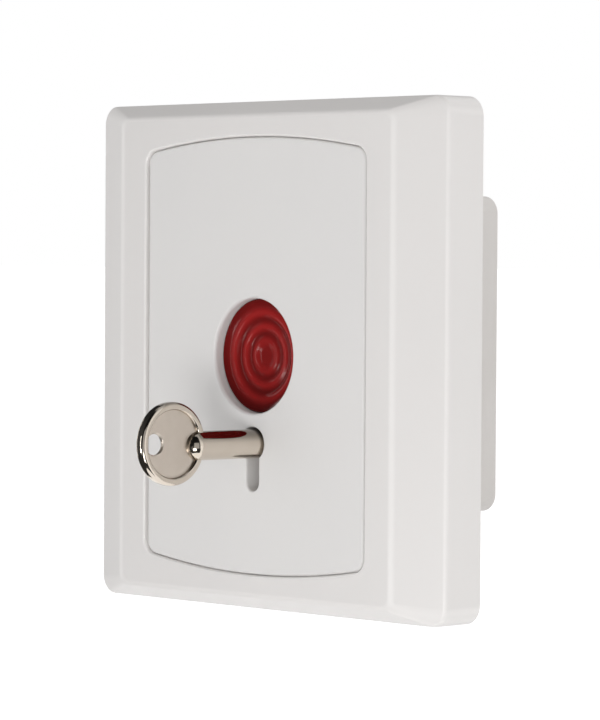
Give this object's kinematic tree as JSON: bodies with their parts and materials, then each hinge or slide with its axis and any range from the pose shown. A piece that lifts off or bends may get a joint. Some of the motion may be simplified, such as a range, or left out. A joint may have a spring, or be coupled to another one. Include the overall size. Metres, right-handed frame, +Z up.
{
  "type": "panic button",
  "caption": "Wall-mounted panic button with a clip-on square frame, an arched panel, a ringed red push button that latches and a tubular key that resets it.",
  "frame": {"origin": "centre of the wall screws, on the wall plane behind the base plate", "axes": "+Z up, -Y out of the wall towards the user, +X to the user's right; the rear housing stands behind the wall plane in +Y"},
  "size_m": [0.086, 0.0597, 0.086],
  "materials": {
    "white_abs_frame": "fine satin",
    "white_abs_panel": "fine satin",
    "white_abs_plate": "plain moulded",
    "white_abs_housing": "plain moulded",
    "red_plastic": "satin gloss",
    "natural_acetal": "plain moulded",
    "grey_plastic": "plain moulded",
    "black_phenolic": "moulded",
    "nickel_plate": "bright nickel plating",
    "spring_steel": "bright drawn wire",
    "zinc_plate": "zinc plated",
    "contact_brass": "stamped"
  },
  "bodies": {
    "case": {"front_frame": "white_abs_frame", "inner_panel": "white_abs_panel", "base_plate": "white_abs_plate", "rear_housing": "white_abs_housing", "button_spring": "spring_steel", "mechanism_plate": "grey_plastic", "latch_spring": "spring_steel", "latch_cover": "grey_plastic", "contact_block": "black_phenolic", "block_lid": "black_phenolic", "plunger_spring": "spring_steel", "nc_contact_right": "contact_brass", "nc_contact_left": "contact_brass", "no_contact_right": "contact_brass", "no_contact_left": "contact_brass", "terminal_clamps": "zinc_plate", "terminal_screws": "zinc_plate", "mechanism_screws": "zinc_plate", "housing_screws": "zinc_plate"},
    "button": {"push_button": "red_plastic", "button_stem": "natural_acetal"},
    "plunger": {"switch_plunger": "natural_acetal", "contact_bridge": "contact_brass"},
    "rotor": {"lock_rotor": "natural_acetal", "lock_pin": "spring_steel"},
    "latch": {"latch_slide": "zinc_plate"},
    "key": {"key": "nickel_plate"}
  },
  "joints": [
    {"name": "button_press", "type": "slide", "parent": "case", "child": "button", "axis": [0, 1, 0], "range_m": [0, 0.003], "stiffness_N_per_m": 1200, "deforming": ["button_spring", "plunger_spring"]},
    {"name": "plunger_press", "type": "slide", "parent": "case", "child": "plunger", "axis": [0, 1, 0], "range_m": [0, 0.003]},
    {"name": "key_turn", "type": "hinge", "parent": "case", "child": "rotor", "pos_m": [0, 0, -0.0148], "axis": [0, 1, 0], "range_deg": [0, 90]},
    {"name": "latch_lift", "type": "slide", "parent": "case", "child": "latch", "axis": [0, 0, 1], "range_m": [0, 0.0015], "stiffness_N_per_m": 300, "deforming": ["latch_spring"]},
    {"name": "key_pull", "type": "slide", "parent": "rotor", "child": "key", "axis": [0, -1, 0], "range_m": [0, 0.016]}
  ],
  "couplings": [
    {"joint": "plunger_press", "follows": "button_press", "ratio": 1},
    {"joint": "key_turn", "follows": "latch_lift", "rad_per_m": 1047.2}
  ]
}
